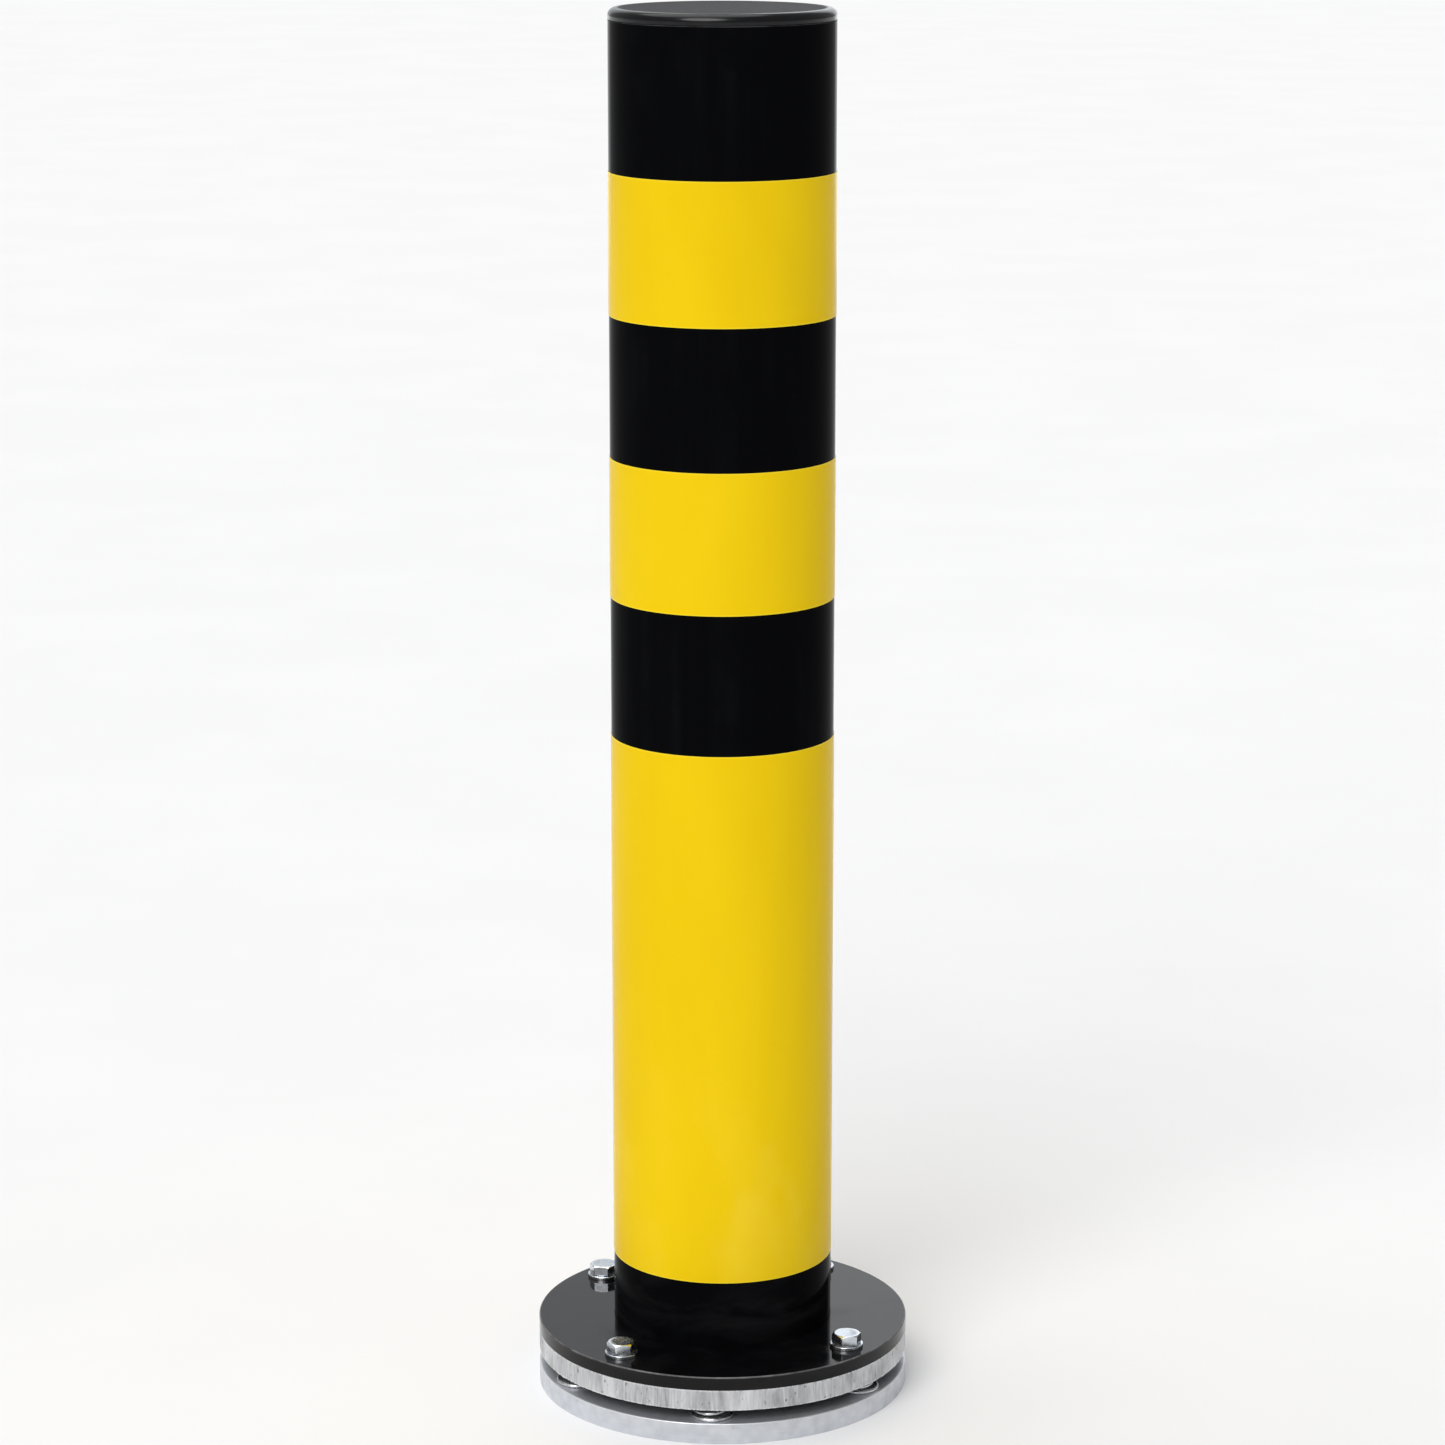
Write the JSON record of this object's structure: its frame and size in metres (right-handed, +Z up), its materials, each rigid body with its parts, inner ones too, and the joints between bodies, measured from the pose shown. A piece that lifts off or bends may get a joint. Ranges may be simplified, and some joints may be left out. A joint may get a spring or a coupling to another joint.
{
  "type": "steel safety bollard",
  "caption": "Black and yellow round steel safety bollard on a flange, standing on a sprung tilt plate with a ball joint over a round floor base plate.",
  "frame": {"origin": "centre of the base plate's underside, on the floor", "axes": "+Z up along the post; -Y is the side the picture shows; +X to the viewer's right"},
  "size_m": [0.27, 0.27, 1],
  "materials": {
    "zinc_plate": "dull zinc plate with a smooth sawn edge",
    "raw_steel": "raw flame-cut steel with fine drag lines",
    "ground_steel": "turned and ground",
    "spring_wire": "bright spring wire",
    "liner_plastic": "low-friction plastic",
    "black_screw": "black oxide",
    "black_coating": "high-gloss black powder coat",
    "weld_metal": "coated weld",
    "zinc_fastener": "bright zinc with a blue tint",
    "yellow_film": "glossy yellow film",
    "black_plastic": "satin, finely textured"
  },
  "bodies": {
    "base": {"base_plate": "zinc_plate", "ball_stud": "ground_steel", "index_pin_1": "ground_steel", "index_pin_2": "ground_steel", "tilt_spring_1": "spring_wire", "tilt_spring_2": "spring_wire", "tilt_spring_3": "spring_wire", "tilt_spring_4": "spring_wire", "tilt_spring_5": "spring_wire", "tilt_spring_6": "spring_wire"},
    "ball_liner": {"ball_liner_lower": "liner_plastic", "ball_liner_upper": "liner_plastic"},
    "post": {"tilt_plate": "raw_steel", "socket_cap": "raw_steel", "socket_screw_1": "black_screw", "socket_screw_2": "black_screw", "socket_screw_3": "black_screw", "socket_screw_4": "black_screw", "flange_plate": "black_coating", "post_tube": "black_coating", "foot_weld": "weld_metal", "flange_bolt_1": "zinc_fastener", "flange_bolt_2": "zinc_fastener", "flange_bolt_3": "zinc_fastener", "flange_bolt_4": "zinc_fastener", "flange_washer_1": "zinc_fastener", "flange_washer_2": "zinc_fastener", "flange_washer_3": "zinc_fastener", "flange_washer_4": "zinc_fastener", "yellow_band_top": "yellow_film", "yellow_band_middle": "yellow_film", "yellow_band_bottom": "yellow_film", "post_cap": "black_plastic"}
  },
  "joints": [
    {"name": "tilt_forward_back", "type": "hinge", "parent": "base", "child": "ball_liner", "pos_m": [0, 0, 0.042], "axis": [1, 0, 0], "range_deg": [-2, 2], "stiffness_Nm_per_rad": 1460, "deforming": ["tilt_spring_1", "tilt_spring_2", "tilt_spring_3", "tilt_spring_4", "tilt_spring_5", "tilt_spring_6"]},
    {"name": "tilt_left_right", "type": "hinge", "parent": "ball_liner", "child": "post", "pos_m": [0, 0, 0.042], "axis": [0, 1, 0], "range_deg": [-2, 2], "stiffness_Nm_per_rad": 1460, "deforming": ["tilt_spring_1", "tilt_spring_2", "tilt_spring_3", "tilt_spring_4", "tilt_spring_5", "tilt_spring_6"]}
  ]
}
